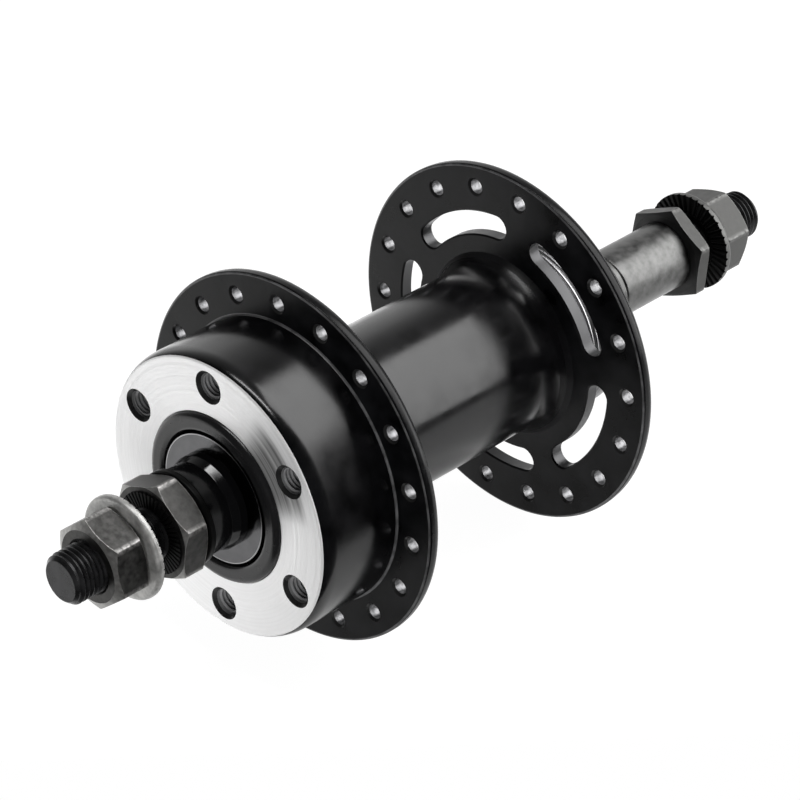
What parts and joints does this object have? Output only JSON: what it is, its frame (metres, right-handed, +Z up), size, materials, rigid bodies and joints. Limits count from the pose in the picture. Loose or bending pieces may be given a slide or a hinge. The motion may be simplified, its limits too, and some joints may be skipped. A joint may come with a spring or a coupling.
{
  "type": "rear disc hub",
  "caption": "Bolt-on rear bicycle hub with a drum for a brake rotor, drilled spoke flanges, a threaded freewheel seat and loose-ball cup-and-cone bearings.",
  "frame": {"origin": "on the axle, midway between the two locknut faces that the frame's dropouts are clamped against", "axes": "+Y along the axle from the brake rotor side to the freewheel side, +Z up, +X towards the front"},
  "size_m": [0.0705, 0.175, 0.0704],
  "materials": {
    "shell_black": "gloss black finish, bare turned rotor face and freewheel seat",
    "blackened_steel": "black oxide",
    "bearing_steel": "ground and hardened",
    "shield_grey": "satin plate",
    "seal_rubber": "smooth black rubber",
    "nut_dark": "dark gunmetal with worn bright edges",
    "nut_grey": "matte grey",
    "zinc_plate": "mottled zinc plate"
  },
  "bodies": {
    "axle_assembly": {"axle": "blackened_steel", "left_cone": "bearing_steel", "right_cone": "bearing_steel", "left_dust_shield": "shield_grey", "right_dust_shield": "shield_grey", "left_seal": "seal_rubber", "right_seal": "seal_rubber", "left_lock_washer": "blackened_steel", "right_lock_washer": "blackened_steel", "right_short_spacer": "nut_dark", "right_long_spacer": "zinc_plate", "left_locknut": "nut_dark", "right_locknut": "nut_grey"},
    "shell": {"hub_shell": "shell_black", "left_bearing_cup": "blackened_steel", "right_bearing_cup": "blackened_steel"},
    "left_ball_ring": {"left_balls": "bearing_steel"},
    "right_ball_ring": {"right_balls": "bearing_steel"},
    "left_washer": {"left_axle_washer": "zinc_plate"},
    "left_nut": {"left_axle_nut": "nut_dark"},
    "right_washer": {"right_axle_washer": "blackened_steel"},
    "right_nut": {"right_axle_nut": "nut_grey"}
  },
  "joints": [
    {"name": "hub_spin", "type": "hinge", "parent": "axle_assembly", "child": "shell", "pos_m": [0, 0, 0], "axis": [0, 1, 0], "continuous": true},
    {"name": "left_balls_roll", "type": "hinge", "parent": "axle_assembly", "child": "left_ball_ring", "pos_m": [0, -0.0472, 0], "axis": [0, 1, 0], "continuous": true},
    {"name": "right_balls_roll", "type": "hinge", "parent": "axle_assembly", "child": "right_ball_ring", "pos_m": [0, 0.0292, 0], "axis": [0, 1, 0], "continuous": true},
    {"name": "left_washer_slide", "type": "slide", "parent": "axle_assembly", "child": "left_washer", "axis": [0, 1, 0], "range_m": [-0.006, 0.005]},
    {"name": "left_nut_turn", "type": "hinge", "parent": "left_washer", "child": "left_nut", "pos_m": [0, -0.07785, 0], "axis": [0, 1, 0], "range_deg": [-2212, 1843]},
    {"name": "right_washer_slide", "type": "slide", "parent": "axle_assembly", "child": "right_washer", "axis": [0, 1, 0], "range_m": [-0.0037, 0.0073]},
    {"name": "right_nut_turn", "type": "hinge", "parent": "right_washer", "child": "right_nut", "pos_m": [0, 0.07655, 0], "axis": [0, 1, 0], "range_deg": [-1365, 2691]}
  ],
  "couplings": [
    {"joint": "left_balls_roll", "follows": "hub_spin", "ratio": 0.6167},
    {"joint": "right_balls_roll", "follows": "hub_spin", "ratio": 0.6167},
    {"joint": "left_nut_turn", "follows": "left_washer_slide", "rad_per_m": 6431.6},
    {"joint": "right_nut_turn", "follows": "right_washer_slide", "rad_per_m": 6431.6}
  ]
}
